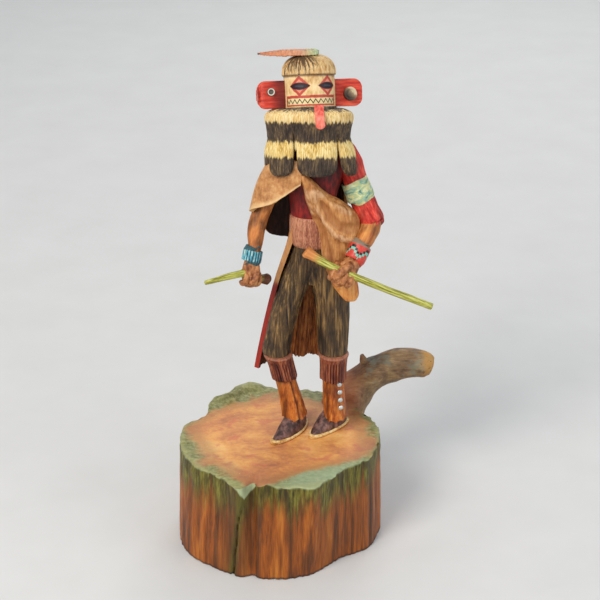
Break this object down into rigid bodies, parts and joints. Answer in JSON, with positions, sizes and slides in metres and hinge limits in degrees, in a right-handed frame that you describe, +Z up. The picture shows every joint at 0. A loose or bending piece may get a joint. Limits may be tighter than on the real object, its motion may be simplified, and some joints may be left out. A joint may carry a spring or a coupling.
{
  "type": "kachina doll",
  "caption": "Carved and painted wooden dancer doll in a cylinder mask, ruff and mantle, holding a stalk in each fist, standing on a sawn tree stump.",
  "frame": {"origin": "centre of the stump's flat underside", "axes": "+Z up, +X towards the figure's left hand, -Y out of the figure's front"},
  "size_m": [0.155, 0.1209, 0.2951],
  "materials": {
    "stump_wood": "weathered sawn wood with bark, oiled and partly stained green",
    "carved_wood": "carved wood with thin matt paint in many colours",
    "ear_paint": "brick-red matt paint over open grain",
    "plug_wood": "grey painted peg",
    "tongue_paint": "coral matt paint",
    "feather_paint": "orange, pink and pale green matt paint",
    "stalk_paint": "yellow-green matt paint with an orange root",
    "silver_tack": "worn silver"
  },
  "bodies": {
    "root": {"stump": "stump_wood", "figure": "carved_wood", "ear_right": "ear_paint", "ear_left": "ear_paint", "ear_plug_right": "plug_wood", "ear_plug_left": "plug_wood", "tongue": "tongue_paint", "crown_feather": "feather_paint", "stalk_right": "stalk_paint", "stalk_left": "stalk_paint", "boot_button_1": "silver_tack", "boot_button_2": "silver_tack", "boot_button_3": "silver_tack", "boot_button_4": "silver_tack"}
  },
  "joints": []
}
